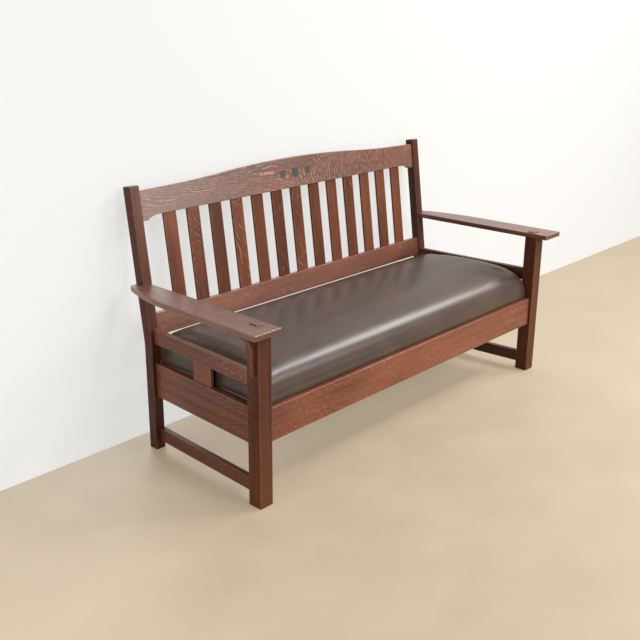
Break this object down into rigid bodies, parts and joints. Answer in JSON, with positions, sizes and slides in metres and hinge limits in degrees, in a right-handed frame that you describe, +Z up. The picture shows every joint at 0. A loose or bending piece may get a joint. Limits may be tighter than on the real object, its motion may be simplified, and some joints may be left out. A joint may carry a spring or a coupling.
{
  "type": "mission settle",
  "caption": "Oak settle with splayed slatted side frames, a raked slat back under an arched crest rail, flat corbelled arms and a drop-in leather seat.",
  "frame": {"origin": "on the floor, under the middle of the settle's bounding box", "axes": "+X along the settle to the sitter's left, as seen from the front to the right; -Y to the front; +Z up"},
  "size_m": [1.7538, 0.7154, 0.9331],
  "materials": {
    "fumed_oak": "dark fumed quarter-sawn oak, satin varnish",
    "inlay_wood": "dark wood inlay, satin",
    "inner_wood": "plain sawn, unfinished",
    "seat_leather": "smooth dark brown, satin",
    "padding": "cotton-wrapped padding",
    "webbing": "woven jute",
    "dust_cloth": "black cambric"
  },
  "bodies": {
    "frame": {"arm_left": "fumed_oak", "arm_right": "fumed_oak", "back_slat_01": "fumed_oak", "back_slat_02": "fumed_oak", "back_slat_03": "fumed_oak", "back_slat_04": "fumed_oak", "back_slat_05": "fumed_oak", "back_slat_06": "fumed_oak", "back_slat_07": "fumed_oak", "back_slat_08": "fumed_oak", "back_slat_09": "fumed_oak", "back_slat_10": "fumed_oak", "back_slat_11": "fumed_oak", "back_slat_12": "fumed_oak", "back_slat_13": "fumed_oak", "corbel_left": "fumed_oak", "corbel_right": "fumed_oak", "corner_brace_front_left": "inner_wood", "corner_brace_front_right": "inner_wood", "corner_brace_rear_left": "inner_wood", "corner_brace_rear_right": "inner_wood", "crest_inlay_center": "inlay_wood", "crest_inlay_left": "inlay_wood", "crest_inlay_right": "inlay_wood", "crest_rail": "fumed_oak", "front_post_left": "fumed_oak", "front_post_right": "fumed_oak", "front_seat_rail": "fumed_oak", "lower_back_rail": "fumed_oak", "rear_post_left": "fumed_oak", "rear_post_right": "fumed_oak", "rear_seat_rail": "fumed_oak", "seat_cleat_front": "inner_wood", "seat_cleat_left": "inner_wood", "seat_cleat_rear": "inner_wood", "seat_cleat_right": "inner_wood", "side_seat_rail_left": "fumed_oak", "side_seat_rail_right": "fumed_oak", "side_slat_left": "fumed_oak", "side_slat_right": "fumed_oak", "side_stretcher_left": "fumed_oak", "side_stretcher_right": "fumed_oak", "side_upper_rail_left": "fumed_oak", "side_upper_rail_right": "fumed_oak"},
    "seat": {"seat_brace_left": "inner_wood", "seat_brace_right": "inner_wood", "seat_dust_cover": "dust_cloth", "seat_frame_end_left": "inner_wood", "seat_frame_end_right": "inner_wood", "seat_frame_front": "inner_wood", "seat_frame_rear": "inner_wood", "seat_leather": "seat_leather", "seat_padding": "padding", "seat_webbing": "webbing"}
  },
  "joints": [
    {"name": "seat_lift", "type": "slide", "parent": "frame", "child": "seat", "axis": [0, 0, 1], "range_m": [0, 0.12]}
  ]
}
